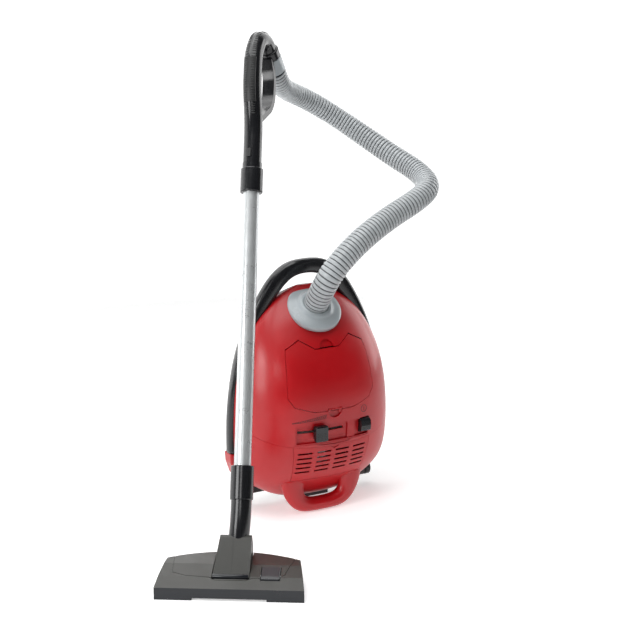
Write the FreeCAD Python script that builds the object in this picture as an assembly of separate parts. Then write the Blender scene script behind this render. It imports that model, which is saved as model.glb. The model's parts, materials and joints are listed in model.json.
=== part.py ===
import FreeCAD, Part
import math
import os

# Toy canister vacuum cleaner, standing on its tail end with its floor nozzle parked in front of it.
# Row frame, millimetres: +X to the machine's right flank as seen from its front, -Y out of its front,
# +Z up. The origin is on the flat underside of the foot loop, in the body's middle plane.

os.makedirs("parts", exist_ok=True)
V = FreeCAD.Vector
X_AXIS = V(1, 0, 0)
Y_AXIS = V(0, 1, 0)
Z_AXIS = V(0, 0, 1)

# ---------------------------------------------------------------- driving dimensions
WALL = 2.5                 # moulded wall of the body shells
SPLIT_Y = 50.0             # plane where the covers meet the rear chassis
FRONT_POWER = 2.4          # superellipse exponent of the front sections
REAR_POWER = 3.0           # superellipse exponent of the rear sections
# height, half width, front of the covers at X = 0, back of the chassis at X = 0
BODY_SECTIONS = [
    (20, 60, 18, 58),
    (34, 86, 0, 62),
    (50, 106, -13, 65),
    (72, 119, -29, 68),
    (104, 124, -41, 72),
    (150, 124, -46, 77),
    (190, 121, -44, 82),
    (225, 115, -36, 86),
    (255, 106, -22, 88),
    (280, 94, -5, 86),
    (303, 76, 13, 78),
    (320, 55, 31, 68),
    (332, 30, 44, 58),
    (337, 14, 48, 53),
]
SEAM_Z = 119.0             # seam between front and tail cover, at SEAM_Y
SEAM_Y = -34.0
SEAM_SLOPE = 0.48          # the seam rises towards the back
SEAM_GAP = 0.4
PANEL_GAP = 0.45

LID_GAP = 0.5
LID_SWING_GAP = 0.8        # extra room at the lid's top edge, and at its foot
LID_FOOT_GAP = 0.4
LID_FOOT_Z = 171.0
TOP_DENT_Z = 256.5         # finger dents
LOW_DENT_Z = 169.5
DENT_R = 11.5
DENT_DEPTH = 3.0
DENT_SKIN = 1.2            # depth of shallow dents and grooves in the covers
LID_HALF = [(12, 169), (30, 169.4), (41, 172.3), (61, 179), (70, 192), (69, 215), (66, 245), (63, 259),
            (41, 270.5), (19, 257)]
LID_HINGE_Y = -44.2
LID_HINGE_Z = 170.8
LID_THICK = 2.2

TRAY_HALF_X = 61.0         # control recess
TRAY_LOW_Z = 120.0
TRAY_HIGH_Z = 149.5
TRAY_DEPTH = 4.0
CONTROL_Z = 137.5          # centre height of both knobs
SLOT_X0 = -57.0
SLOT_X1 = 15.0
KNOB_X = -26.0             # slider knob at rest
SWITCH_X = 51.5
SWITCH_R = 11.0
SWITCH_Y = -38.0

VENT_ROWS = 5
VENT_COLUMNS = 4
VENT_TOP_Z = 106.0
VENT_PITCH_Z = 8.0
VENT_SLOT = (22.5, 2.8)
VENT_PITCH_X = 29.8

SCREW_SPOTS = [(-104, 60), (104, 60), (-112, 200), (112, 200), (-70, 300), (70, 300)]
SCREW_HEAD_Y = 54.0
BOSS_R = 5.5

DISC_CENTRE = V(0, 19, 308)
DISC_TILT = 52.7           # elevation of the rosette's normal above the horizontal, degrees
DISC_R = 41.5
HOSE_R = 17.5

WHEEL_R = 11.0             # tail rollers
WHEEL_X = (95.0, 114.0)
WHEEL_Y = 56.0
WHEEL_Z = 28.0
AXLE_R = 2.5
RUN_FIT = 0.05             # radial clearance of running fits

CASTER_Z = 262.0
CASTER_FACE_Y = 93.0
CASTER_WHEEL_R = 9.0

MOTOR_Y = 8.0
FAN_R = 24.0

# the wand: yaw of its vertical plane, lean of its tube, twist of its handle
WAND_ORIGIN = V(-254.5, -222.8, 0)   # middle of the nozzle's front edge on the floor
WAND_YAW = -31.0
TUBE_LEAN = 26.0
HANDLE_TWIST = -17.0
ELBOW = V(8, 84, 77)                 # where the neck pipe bends, wand frame
NECK_FOOT = V(3, 72, 29)             # lower end of the neck pipe, wand frame
NECK_R = 14.0
TUBE_R = 11.6
COLLAR_R = 15.7
GRIP_R = 13.2

NOZZLE_FRONT_W = 197.0
NOZZLE_BACK_W = 179.0
NOZZLE_DEPTH = 66.0
NOZZLE_BULGE = 22.0
NOZZLE_WALL = 2.2
HINGE_Y = 26.0             # tilting hinge of the nozzle, wand frame
HINGE_Z = 17.0
HINGE_R = 5.0
KNEE_HALF_W = 24.5
KNEE_SLOT_HALF = 25.2
KNEE_TAPER = 6.5           # the hinge cover's left side leans in towards its top
FOOT_BAR = (23.5, 24.0, 3.0)  # round bar at the cover's foot: y, z, radius

# hose route: cuff of the handle to the rosette
HOSE_POINTS = [
    (-2, 139, 642), (11.5, 152, 620.5), (43, 190, 605), (86, 204, 588), (131, 195, 560),
    (166, 163, 530), (192, 118, 503), (212, 74, 483), (205, 31, 467), (168, 14, 452),
    (120, 7, 434), (66, -5, 409), (22, -13, 378), (0, -8, 345), (0, 15.4, 312.8),
]


# ---------------------------------------------------------------- helpers
def save(name, shape):
    """Write one node and say whether its solids are sound."""
    solids = shape.Solids
    result = solids[0] if len(solids) == 1 else Part.makeCompound(solids)
    result.exportStep("parts/" + name + ".step")
    volume = sum(solid.Volume for solid in solids) / 1000.0
    note = "" if result.isValid() and solids else "  <-- NOT SOUND"
    print(f"{name:22s} solids {len(solids):2d}  volume {volume:8.2f} cm3{note}")


def block(x0, x1, y0, y1, z0, z1):
    return Part.makeBox(x1 - x0, y1 - y0, z1 - z0, V(x0, y0, z0))


def rod(start, direction, radius, length):
    return Part.makeCylinder(radius, length, V(start), V(direction))


def pipe(start, direction, outer, inner, length):
    return rod(start, direction, outer, length).cut(rod(start, direction, inner, length))


def fuse(shapes):
    result = shapes[0]
    for shape in shapes[1:]:
        result = result.fuse(shape)
    return result.removeSplitter()


def softened(shape, radius, edges=None):
    """Round edges where the kernel can, and leave them sharp where it can't."""
    try:
        rounded = shape.makeFillet(radius, edges or shape.Edges)
        return rounded if rounded.isValid() and rounded.Solids else shape
    except Exception:
        return shape


def prism(points, axis, low, high):
    """Extrude a closed outline given in the two other axes, in X, Y, Z order."""
    if axis == "x":
        corners = [V(low, a, b) for a, b in points]
        along = V(high - low, 0, 0)
    elif axis == "y":
        corners = [V(a, low, b) for a, b in points]
        along = V(0, high - low, 0)
    else:
        corners = [V(a, b, low) for a, b in points]
        along = V(0, 0, high - low)
    face = Part.Face(Part.makePolygon(corners + [corners[0]]))
    return face.extrude(along)


def placed(shape, placement):
    result = shape.copy()
    result.Placement = placement.multiply(result.Placement)
    return result


def section_values(z):
    """Half width, front and back of the body at a height."""
    low = BODY_SECTIONS[0]
    for high in BODY_SECTIONS[1:]:
        if z <= high[0]:
            share = (z - low[0]) / (high[0] - low[0])
            return [low[i] + share * (high[i] - low[i]) for i in (1, 2, 3)]
        low = high
    return list(BODY_SECTIONS[-1][1:])


def half_loft(side, inset):
    """The body's front (side -1) or rear (side 1) half as one solid, its walls moved in by inset."""
    power = FRONT_POWER if side < 0 else REAR_POWER
    lowest = BODY_SECTIONS[0][0] + inset
    highest = BODY_SECTIONS[-1][0] - inset
    heights = [row[0] for row in BODY_SECTIONS[1:-1] if lowest + 4 < row[0] < highest - 3]
    extra = 1.0 if inset else 0.0
    steps = 16
    wires = []
    for z in [lowest] + heights + [highest]:
        half_width, front, back = section_values(z)
        half_width = max(half_width - inset, 3)
        depth = max((SPLIT_Y - front if side < 0 else back - SPLIT_Y) - inset, 1)
        points = []
        for i in range(steps + 1):
            angle = math.pi * i / steps
            cosine = math.cos(angle)
            x = half_width * math.copysign(abs(cosine) ** (2 / power), cosine)
            y = SPLIT_Y + side * depth * abs(math.sin(angle)) ** (2 / power)
            points.append(V(x, y, z))
        points[steps // 2].x = 0
        curve = Part.BSplineCurve()
        curve.interpolate(points)
        edges = [curve.toShape()]
        start = points[0]
        end = points[-1]
        back_y = SPLIT_Y - side * extra
        corners = [end, start]
        if inset:
            corners = [end, V(end.x, back_y, z), V(start.x, back_y, z), start]
        for a, b in zip(corners, corners[1:]):
            edges.append(Part.LineSegment(a, b).toShape())
        wires.append(Part.Wire(edges))
    return Part.makeLoft(wires, True, False)


def rounded_path(points, share=0.45, report=""):
    """Straight runs joined by the largest tangent arcs that the runs allow."""
    corners = [V(*p) for p in points]
    edges = []
    radii = []
    start = corners[0]
    for before, corner, after in zip(corners, corners[1:], corners[2:]):
        inward = before - corner
        outward = after - corner
        reach = share * min(inward.Length, outward.Length)
        turn = math.pi - inward.getAngle(outward)
        radii.append(reach / math.tan(turn / 2))
        first = corner + inward.normalize() * reach
        last = corner + outward.normalize() * reach
        to_centre = (inward + outward).normalize()
        centre = corner + to_centre * (reach / math.sin(turn / 2))
        middle = centre - to_centre * radii[-1]
        edges.append(Part.LineSegment(start, first).toShape())
        edges.append(Part.Arc(first, middle, last).toShape())
        start = last
    edges.append(Part.LineSegment(start, corners[-1]).toShape())
    if report:
        print(report, "radii", [round(r) for r in radii])
    return Part.Wire(edges)


def swept(points, radius, report=""):
    """A round solid along a rounded path."""
    path = rounded_path(points, report=report)
    first = path.Edges[0]
    direction = first.tangentAt(first.FirstParameter)
    circle = Part.Wire(Part.makeCircle(radius, V(*points[0]), direction))
    solid = path.makePipeShell([circle], True, False)
    if report:
        wanted = math.pi * radius ** 2 * path.Length / 1000
        print(f"{report} length {path.Length:.0f} mm, volume {solid.Volume / 1000:.1f},"
              f" section x length {wanted:.1f} cm3")
    return solid


# ---------------------------------------------------------------- frames of the wand
WAND = FreeCAD.Placement(WAND_ORIGIN, FreeCAD.Rotation(Z_AXIS, WAND_YAW))
TUBE = WAND.multiply(FreeCAD.Placement(ELBOW, FreeCAD.Rotation(X_AXIS, -TUBE_LEAN)))
HANDLE = TUBE.multiply(FreeCAD.Placement(V(0, 0, 0), FreeCAD.Rotation(Z_AXIS, HANDLE_TWIST)))

# ---------------------------------------------------------------- body shells
front_outer = half_loft(-1, 0)
front_inner = half_loft(-1, WALL)
rear_outer = half_loft(1, 0)
rear_inner = half_loft(1, WALL)

seam_low_y = -100.0
seam_high_y = 130.0
above_seam = prism(
    [(seam_low_y, SEAM_Z + SEAM_SLOPE * (seam_low_y - SEAM_Y)),
     (seam_high_y, SEAM_Z + SEAM_SLOPE * (seam_high_y - SEAM_Y)),
     (seam_high_y, 420), (seam_low_y, 420)], "x", -200, 200)

disc_angle = math.radians(DISC_TILT)
disc_normal = V(0, -math.cos(disc_angle), math.sin(disc_angle))


def lid_outline(grow):
    """The lid's outline, moved out by about grow; the lid itself has swing room at its top edge."""
    centre_z = 220.0
    half = []
    for x, z in LID_HALF:
        swing = 0.0
        if not grow:
            swing = LID_SWING_GAP if z > 255 else -LID_FOOT_GAP if z < LID_FOOT_Z else 0.0
        half.append((x + grow, z + math.copysign(grow, z - centre_z) - swing))
    return half + [(-x, z) for x, z in reversed(half)]


def add_bosses(cover, spots, body):
    """Screw bosses that stand on the cover's own wall."""
    for x, z in spots:
        cover = cover.fuse(rod((x, 39, z), Y_AXIS, BOSS_R, SPLIT_Y - 39).common(body))
        cover = cover.cut(rod((x, 40.5, z), Y_AXIS, 1.5, 20))
    return cover


skin = front_outer.cut(half_loft(-1, DENT_SKIN))


def make_front_cover(front_shell):
    cover = add_bosses(front_shell.common(above_seam), SCREW_SPOTS[2:], front_outer)
    cover = cover.cut(prism(lid_outline(LID_GAP), "y", -80, 20))
    # half-round finger dents above and below the lid
    dents = fuse([rod((0, -60, TOP_DENT_Z), Y_AXIS, DENT_R, 80).cut(block(-30, 30, -80, 30, 200, TOP_DENT_Z)),
                  rod((0, -60, LOW_DENT_Z), Y_AXIS, DENT_R, 80).cut(block(-30, 30, -80, 30, LOW_DENT_Z, 200))])
    dent_floor = half_loft(-1, DENT_DEPTH).cut(half_loft(-1, DENT_DEPTH + WALL))
    band = prism([(-14, 140), (14, 140), (14, 290), (-14, 290)], "y", -80, 20)
    band = band.cut(prism(lid_outline(LID_GAP), "y", -80, 20)).cut(block(-20, 20, -80, 30, 200, 240))
    dent_floor = dent_floor.common(band).cut(block(-20, 20, -80, 30, TRAY_HIGH_Z, LOW_DENT_Z - DENT_R - 2))
    dent_floor = dent_floor.cut(block(-20, 20, -80, 30, TOP_DENT_Z + DENT_R + 2, 300))
    dent_floor = dent_floor.cut(block(-20, 20, -80, 30, 100, TRAY_HIGH_Z))
    cover = cover.cut(dents).fuse(dent_floor)
    crescent = prism([(-30, 119), (30, 119), (20, 117.2), (0, 116.4), (-20, 117.2)], "y", -80, 20)
    cover = cover.cut(crescent.common(skin))
    # room below the lid's edge for its hinge
    cover = cover.cut(block(-12, 12, -60, -20, LID_HINGE_Z - 3.4, LID_HINGE_Z + 3))
    cover = cover.cut(block(-TRAY_HALF_X, TRAY_HALF_X, -80, -10, TRAY_LOW_Z, TRAY_HIGH_Z))
    cover = cover.cut(rod(DISC_CENTRE - disc_normal * 30, disc_normal, 17.0, 60))
    for side in (-1, 1):
        low, high = sorted((side * 6.4, side * 11))
        knuckle = rod((low, LID_HINGE_Y, LID_HINGE_Z), X_AXIS, 1.9, high - low)
        stalk = block(low, high, LID_HINGE_Y - 0.6, LID_HINGE_Y + 2.6, LID_HINGE_Z - 6, LID_HINGE_Z)
        cover = cover.fuse(fuse([knuckle, stalk]).cut(rod((-20, LID_HINGE_Y, LID_HINGE_Z), X_AXIS, 1.0, 40)))
    return cover.removeSplitter()


def make_panel_prism(inset):
    wide = 64 - inset
    narrow = 58 - inset
    low = 57 + inset
    outline = [(-wide, 170), (-wide, 119), (-narrow, low), (narrow, low), (wide, 119), (wide, 170)]
    return prism(outline, "y", -80, 30)


def make_vent_panel(tail_shell):
    panel = tail_shell.common(make_panel_prism(PANEL_GAP))
    panel = panel.cut(prism([(-7, 113), (9, 113), (1, 109.5)], "y", -80, 20).common(skin))
    width, height = VENT_SLOT
    for row in range(VENT_ROWS):
        z = VENT_TOP_Z - row * VENT_PITCH_Z
        for column in range(VENT_COLUMNS):
            x = (column - (VENT_COLUMNS - 1) / 2) * VENT_PITCH_X
            panel = panel.cut(block(x - width / 2, x + width / 2, -80, 30, z - height / 2, z + height / 2))
    return panel


def make_tail_cover(tail_shell):
    """The red tail shell, with the bumper's continuation on each flank."""
    cover = tail_shell.cut(make_panel_prism(0))
    for side in (-1, 1):
        outline = [(side * x, z) for x, z in [(100, 94.7), (130, 94.7), (129, 80), (123, 62), (110, 47), (96, 47)]]
        wing = softened(prism(outline, "y", 38, 60), 2.0).cut(front_outer).cut(rear_outer)
        cover = cover.fuse(max(wing.Solids, key=lambda solid: solid.Volume))
    return add_bosses(cover, SCREW_SPOTS[:2], front_outer).removeSplitter()


front_shell = front_outer.cut(front_inner)
below_seam = above_seam.copy()
below_seam.translate(V(0, 0, -SEAM_GAP))
tail_shell = front_shell.cut(below_seam)
front_cover = make_front_cover(front_shell)
tail_cover = make_tail_cover(tail_shell)
vent_panel = make_vent_panel(tail_shell)
save("front_cover", front_cover)
save("tail_cover", tail_cover)
save("vent_panel", vent_panel)


def make_control_tray():
    """Recessed tray of the two controls, with its rim and the rib between them."""
    plate = half_loft(-1, TRAY_DEPTH).cut(half_loft(-1, TRAY_DEPTH + WALL))
    window = block(-TRAY_HALF_X, TRAY_HALF_X, -80, -10, TRAY_LOW_Z, TRAY_HIGH_Z)
    inside = block(-TRAY_HALF_X + 2, TRAY_HALF_X - 2, -80, -10, TRAY_LOW_Z + 2, TRAY_HIGH_Z - 2)
    rim = half_loft(-1, 0.6).cut(half_loft(-1, TRAY_DEPTH + WALL)).common(window.cut(inside))
    rib_block = block(22, 35, -80, -10, TRAY_LOW_Z + 2, TRAY_HIGH_Z - 2)
    rib = half_loft(-1, 2.0).cut(half_loft(-1, TRAY_DEPTH + WALL)).common(rib_block)
    tray = fuse([plate.common(window), rim, rib])
    tray = tray.cut(block(SLOT_X0, SLOT_X1, -60, -10, CONTROL_Z + 0.5, CONTROL_Z + 4.5))
    reach = SWITCH_R + 0.4
    return tray.cut(block(SWITCH_X - 8.6, SWITCH_X + 8.6, -60, -10, CONTROL_Z - reach, CONTROL_Z + reach))


save("control_tray", make_control_tray())


def make_rear_chassis():
    """Back shell: heel foot, roller lugs, caster boss and battery opening."""
    shell = rear_outer.cut(rear_inner)
    heel = block(-14, 40, SPLIT_Y, 61, 0, 24).cut(block(-11, 37, SPLIT_Y + 2.5, 58.5, 3, 24.1))
    shell = shell.fuse(heel.cut(rear_inner))
    for side in (-1, 1):
        low, high = sorted((side * 66, side * 94))
        lug = block(low, high, SPLIT_Y + 1.5, 61.5, 22, 34)
        shell = shell.fuse(lug.cut(rear_inner))
        shell = shell.cut(rod((side * 80, WHEEL_Y, WHEEL_Z), (side, 0, 0), AXLE_R, 16))
    boss = rod((0, 80, CASTER_Z), Y_AXIS, 12, CASTER_FACE_Y - 80)
    shell = shell.fuse(boss)
    shell = shell.cut(rod((0, 82, CASTER_Z), Y_AXIS, 3.0, 12))
    shell = shell.cut(block(-44, 44, 55, 100, 68, 126))
    for x, z in SCREW_SPOTS:
        shell = shell.fuse(rod((x, SPLIT_Y, z), Y_AXIS, BOSS_R, 20).common(rear_outer))
        shell = shell.cut(rod((x, SPLIT_Y - 1, z), Y_AXIS, 1.5, 10))
        shell = shell.cut(rod((x, SCREW_HEAD_Y, z), Y_AXIS, 3.0, 40))
    return shell.removeSplitter()


save("rear_chassis", make_rear_chassis())


# ---------------------------------------------------------------- carry handle, foot loop, rosette
def spline_edge(points):
    curve = Part.BSplineCurve()
    curve.interpolate(points)
    return curve.toShape()


def make_carry_handle():
    """The arch over the top and the bumper legs down both flanks, round in the hand."""
    outer_half = [(130, 95), (130.5, 130), (129, 160), (123, 213), (113, 253), (97, 293), (76, 333),
                  (55, 361), (30, 374.5)]
    inner_half = [(118, 95), (119, 130), (116, 190), (102, 245), (80, 285), (58, 313), (44, 332),
                  (32, 347)]
    outer = [V(x, 38, z) for x, z in outer_half] + [V(0, 38, 377)]
    outer += [V(-x, 38, z) for x, z in reversed(outer_half)]
    inner = [V(-x, 38, z) for x, z in inner_half] + [V(0, 38, 355)]
    inner += [V(x, 38, z) for x, z in reversed(inner_half)]
    wire = Part.Wire([
        spline_edge(outer),
        Part.LineSegment(outer[-1], inner[0]).toShape(),
        spline_edge(inner),
        Part.LineSegment(inner[-1], outer[0]).toShape(),
    ])
    arch = softened(Part.Face(wire).extrude(V(0, 20, 0)), 4.5)
    arch = arch.cut(front_outer).cut(rear_outer)
    return max(arch.Solids, key=lambda solid: solid.Volume)


carry_handle = make_carry_handle()
save("carry_handle", carry_handle)


def make_foot_loop():
    """The red loop that the machine stands on."""
    outer_half = [(68, 56), (67, 44), (63, 31), (56, 18), (47, 7), (35, 0.8), (27, 0)]
    outline = [(-x, z) for x, z in outer_half] + [(x, z) for x, z in reversed(outer_half)]
    loop = prism(outline, "y", -13, 9)
    hole = block(-31.5, 31.5, -20, 20, 21, 45)
    upright = [edge for edge in hole.Edges if abs(edge.tangentAt(0).y) > 0.9]
    loop = softened(loop.cut(softened(hole, 9.0, upright)), 3.0)
    loop = loop.cut(front_outer)
    return max(loop.Solids, key=lambda solid: solid.Volume)


save("foot_loop", make_foot_loop())


def make_rosette():
    """Grey hose rosette: a disc that follows the cover, with a raised ring that holds the hose."""
    base = DISC_CENTRE - disc_normal * 16
    disc = Part.makeCone(DISC_R, DISC_R - 3, 19, base, disc_normal)
    ring = Part.makeCone(27, 24.5, 7, DISC_CENTRE + disc_normal * 2, disc_normal)
    rosette = fuse([disc, ring])
    rosette = rosette.cut(rod(DISC_CENTRE + disc_normal * 4, disc_normal, HOSE_R + 0.3, 20))
    rosette = rosette.cut(rod(DISC_CENTRE - disc_normal * 30, disc_normal, 14.5, 50))
    rosette = rosette.cut(front_outer)
    rosette = max(rosette.Solids, key=lambda solid: solid.Volume)
    return rosette.cut(carry_handle)


save("hose_rosette", make_rosette())


# ---------------------------------------------------------------- dust lid
def make_lid():
    plate = front_outer.cut(half_loft(-1, LID_THICK)).common(prism(lid_outline(0), "y", -80, 20))
    plate = plate.cut(rod((-12, LID_HINGE_Y, LID_HINGE_Z), X_AXIS, 2.5, 24))
    knuckle = rod((-6, LID_HINGE_Y, LID_HINGE_Z), X_AXIS, 1.9, 12)
    web = block(-6, 6, LID_HINGE_Y - 1.2, LID_HINGE_Y + 1.0, LID_HINGE_Z, LID_HINGE_Z + 6)
    lid = fuse([plate, knuckle, web])
    lid = lid.cut(rod((-20, LID_HINGE_Y, LID_HINGE_Z), X_AXIS, 1.0 + RUN_FIT, 40))
    return max(lid.removeSplitter().Solids, key=lambda solid: solid.Volume)


dust_lid = make_lid()
save("dust_lid", dust_lid)
save("lid_hinge_pin", rod((-11, LID_HINGE_Y, LID_HINGE_Z), X_AXIS, 1.0, 22))

# ---------------------------------------------------------------- controls
knob = softened(block(KNOB_X - 10, KNOB_X + 10, -56, -46.8, CONTROL_Z - 10.5, CONTROL_Z + 13), 2.0)
knob_base = block(KNOB_X - 8, KNOB_X + 8, -47.5, -42.2, CONTROL_Z - 8, CONTROL_Z + 9)
stem = block(KNOB_X - 4, KNOB_X + 4, -44, -26, CONTROL_Z + 1.0, CONTROL_Z + 4.0)
save("power_slider", fuse([knob, knob_base, stem]))
slide_block = block(-60, 20, -29.3, -21, CONTROL_Z - 5, CONTROL_Z + 10)
slide_block = slide_block.cut(block(SLOT_X0, SLOT_X1, -32, -24, CONTROL_Z + 0.5, CONTROL_Z + 4.5))
save("slide_control", slide_block)

rocker = rod((SWITCH_X - 8, SWITCH_Y, CONTROL_Z), X_AXIS, SWITCH_R, 16)
rocker_face = prism([(-60, CONTROL_Z - 20), (-60, CONTROL_Z + 20), (-45.5, CONTROL_Z + 12),
                     (-47.5, CONTROL_Z), (-45.5, CONTROL_Z - 12)], "x", SWITCH_X - 20, SWITCH_X + 20)
rocker = rocker.cut(rocker_face).cut(block(SWITCH_X - 9, SWITCH_X + 9, -31, -20, 100, 160))
save("power_switch", rocker)
housing = block(SWITCH_X - 10, SWITCH_X + 9.4, -29.4, -18, CONTROL_Z - 13, CONTROL_Z + 13)
housing = housing.cut(rod((SWITCH_X - 8.4, SWITCH_Y, CONTROL_Z), X_AXIS, SWITCH_R + 0.4, 16.8))
save("switch_housing", housing)

# ---------------------------------------------------------------- air path and drive
BOX = (-54.0, 54.0, -8.0, 72.0, 174.0, 252.0)
BOX_WALL = 1.8
DUCT_R = 13.5


def make_dust_box():
    x0, x1, y0, y1, z0, z1 = BOX
    box = block(*BOX).cut(block(x0 + BOX_WALL, x1 - BOX_WALL, y0 - 1, y1 - BOX_WALL,
                                z0 + BOX_WALL, z1 - BOX_WALL))
    box = box.cut(rod((0, 15, z0 - 5), Z_AXIS, 18, 10))
    inlet_y = (DISC_CENTRE - disc_normal * 32).y
    return box.cut(rod((0, inlet_y, z1 - 5), Z_AXIS, DUCT_R - BOX_WALL, 10))


save("dust_box", make_dust_box())
duct_start = DISC_CENTRE - disc_normal * 2.5
duct_turn = DISC_CENTRE - disc_normal * 32
DUCT_PATH = [tuple(duct_start), tuple(duct_turn), (0, duct_turn.y, BOX[5])]
save("inlet_duct", swept(DUCT_PATH, DUCT_R).cut(swept(DUCT_PATH, DUCT_R - BOX_WALL)))
save("filter_screen", rod((0, 15, 170.4), Z_AXIS, 22, BOX[4] - 170.4))

fan_housing = pipe((0, MOTOR_Y, 113), Z_AXIS, 29, 26.5, 42)
fan_top = Part.makeCone(29, 24, 12, V(0, MOTOR_Y, 155), Z_AXIS)
fan_top = fan_top.cut(Part.makeCone(26.5, 21.5, 12, V(0, MOTOR_Y, 155), Z_AXIS))
flange = rod((0, MOTOR_Y, 167), Z_AXIS, 24, 3.4).cut(rod((0, MOTOR_Y, 167), Z_AXIS, 18, 3.4))
save("fan_housing", fuse([fan_housing, fan_top, flange]))

motor_can = softened(rod((0, MOTOR_Y, 68), Z_AXIS, 14, 40), 1.5)
motor = motor_can.fuse(rod((0, MOTOR_Y, 106), Z_AXIS, 5, 5))
motor = motor.cut(rod((0, MOTOR_Y, 94), Z_AXIS, 1.5 + RUN_FIT, 40))
save("motor", motor)
bracket = block(-31, 31, -20, 42, 108, 111).cut(rod((0, MOTOR_Y, 100), Z_AXIS, 5, 20))
legs = [block(x - 4, x + 4, 38, 42, 70, 108) for x in (-27, 27)]
rim_blocks = [block(-31, -27, -20, 42, 111, 113), block(27, 31, -20, 42, 111, 113)]
save("motor_bracket", fuse([bracket] + legs + rim_blocks))


def make_fan():
    shaft = rod((0, MOTOR_Y, 94.5), Z_AXIS, 1.5, 32)
    disc = rod((0, MOTOR_Y, 115), Z_AXIS, FAN_R, 1.6)
    hub = rod((0, MOTOR_Y, 115), Z_AXIS, 5, 12)
    blades = []
    for i in range(8):
        blade = block(4, FAN_R - 1, -0.7, 0.7, 116, 126)
        blade.rotate(V(0, 0, 0), Z_AXIS, 45 * i)
        blade.translate(V(0, MOTOR_Y, 0))
        blades.append(blade)
    return fuse([disc, hub] + blades).cut(shaft), shaft


fan, fan_shaft = make_fan()
save("fan", fan)
save("motor_shaft", fan_shaft)

# ---------------------------------------------------------------- battery bay
battery_box = block(-46, 46, 42, 62, 64, 130).cut(block(-44, 44, 44, 80, 66, 128))
save("battery_box", battery_box)
cell_xs = [-33, -11, 11, 33]
cells = [rod((x, 54, 71), Z_AXIS, 7.2, 50).fuse(rod((x, 54, 121), Z_AXIS, 2.7, 1.5)) for x in cell_xs]
save("battery_cells", Part.makeCompound(cells))
contacts = [rod((x, 54, 66), Z_AXIS, 4, 5) for x in cell_xs]
contacts += [rod((x, 54, 122.5), Z_AXIS, 4, 5.5) for x in cell_xs]
save("battery_contacts", Part.makeCompound(contacts))
door = rear_outer.cut(half_loft(1, WALL)).common(block(-43.7, 43.7, 55, 100, 68.3, 125.7))
door = door.cut(rod((0, 60, 120), Y_AXIS, 1.6, 30))
save("battery_door", door)
screw = rod((0, 66, 120), Y_AXIS, 1.6, 10).common(rear_outer)
save("battery_screw", screw)

screws = []
for x, z in SCREW_SPOTS:
    screws.append(rod((x, 41, z), Y_AXIS, 1.5, SCREW_HEAD_Y - 41).fuse(rod((x, SCREW_HEAD_Y, z), Y_AXIS, 3, 2)))
save("housing_screws", Part.makeCompound(screws))

# ---------------------------------------------------------------- tail rollers and front caster
for side, name in ((-1, "left"), (1, "right")):
    x0 = side * WHEEL_X[0]
    roller = rod((x0, WHEEL_Y, WHEEL_Z), (side, 0, 0), WHEEL_R, WHEEL_X[1] - WHEEL_X[0])
    roller = softened(roller, 1.5)
    groove = pipe((x0 + side * 8.5, WHEEL_Y, WHEEL_Z), (side, 0, 0), WHEEL_R + 1, WHEEL_R - 3, 2)
    bore = rod((x0 - side * 5, WHEEL_Y, WHEEL_Z), (side, 0, 0), AXLE_R + RUN_FIT, 40)
    save("tail_roller_" + name, roller.cut(groove).cut(bore))
axles = []
for side in (-1, 1):
    pin = rod((side * 80, WHEEL_Y, WHEEL_Z), (side, 0, 0), AXLE_R, WHEEL_X[1] - 80 + 0.5)
    cap = rod((side * (WHEEL_X[1] + 0.5), WHEEL_Y, WHEEL_Z), (side, 0, 0), 4.5, 1.5)
    axles.append(pin.fuse(cap))
save("roller_axles", Part.makeCompound(axles))

fork_y = CASTER_FACE_Y + 0.3
wheel_y = fork_y + 10.5
wheel_z = CASTER_Z - 5
fork = rod((0, 83, CASTER_Z), Y_AXIS, 3.0 - RUN_FIT, fork_y - 83)
fork = fork.fuse(rod((0, fork_y, CASTER_Z), Y_AXIS, 11, 2.2))
for x0 in (-7.5, 5.0):
    cheek = block(x0, x0 + 2.5, fork_y, wheel_y + 3, wheel_z - 4, wheel_z + 9)
    fork = fork.fuse(cheek)
fork = fork.cut(rod((0, wheel_y, wheel_z), X_AXIS, CASTER_WHEEL_R + 0.6, 4.4))
fork = fork.cut(rod((-4.4, wheel_y, wheel_z), X_AXIS, CASTER_WHEEL_R + 0.6, 8.8))
fork = fork.cut(rod((-8, wheel_y, wheel_z), X_AXIS, 1.5, 16))
save("caster_fork", fork.removeSplitter())
caster_wheel = softened(rod((-4, wheel_y, wheel_z), X_AXIS, CASTER_WHEEL_R, 8), 1.2)
save("caster_wheel", caster_wheel.cut(rod((-8, wheel_y, wheel_z), X_AXIS, 1.5 + RUN_FIT, 16)))
save("caster_axle", rod((-7.5, wheel_y, wheel_z), X_AXIS, 1.5, 15))


# ---------------------------------------------------------------- floor nozzle, wand frame
def nozzle_plan(inset, low, high):
    """The nozzle's plan: a trapezoid with a bowed back edge."""
    front = NOZZLE_FRONT_W / 2 - inset
    back = NOZZLE_BACK_W / 2 - inset
    depth = NOZZLE_DEPTH - inset
    corners = [V(-back, depth, low), V(-front, inset, low), V(front, inset, low), V(back, depth, low)]
    edges = [Part.LineSegment(a, b).toShape() for a, b in zip(corners, corners[1:])]
    edges.append(Part.Arc(corners[-1], V(0, depth + NOZZLE_BULGE, low), corners[0]).toShape())
    return Part.Face(Part.Wire(edges)).extrude(V(0, 0, high - low))


def nozzle_profile(drop):
    """Side profile that gives the top its slope."""
    side = [(-5, -5), (-5, 17 - drop), (0, 17 - drop), (22, 24.5 - drop), (50, 29.5 - drop),
            (95, 31 - drop), (95, -5)]
    return prism(side, "x", -120, 120)


PEDAL = (40.0, 65.0, 17.0, 44.0)
PEDAL_Y = 30.5
PEDAL_Z = 22.0
BRUSH_Y = (8.0, 13.0)
NOZZLE_SEAM = [(-80, 76), (-78, 30), (-60, 23), (-28, 20.5), (-20, 15.5), (20, 15.5), (28, 19.5), (62, 23),
               (71, 28), (84, 74)]


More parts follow.
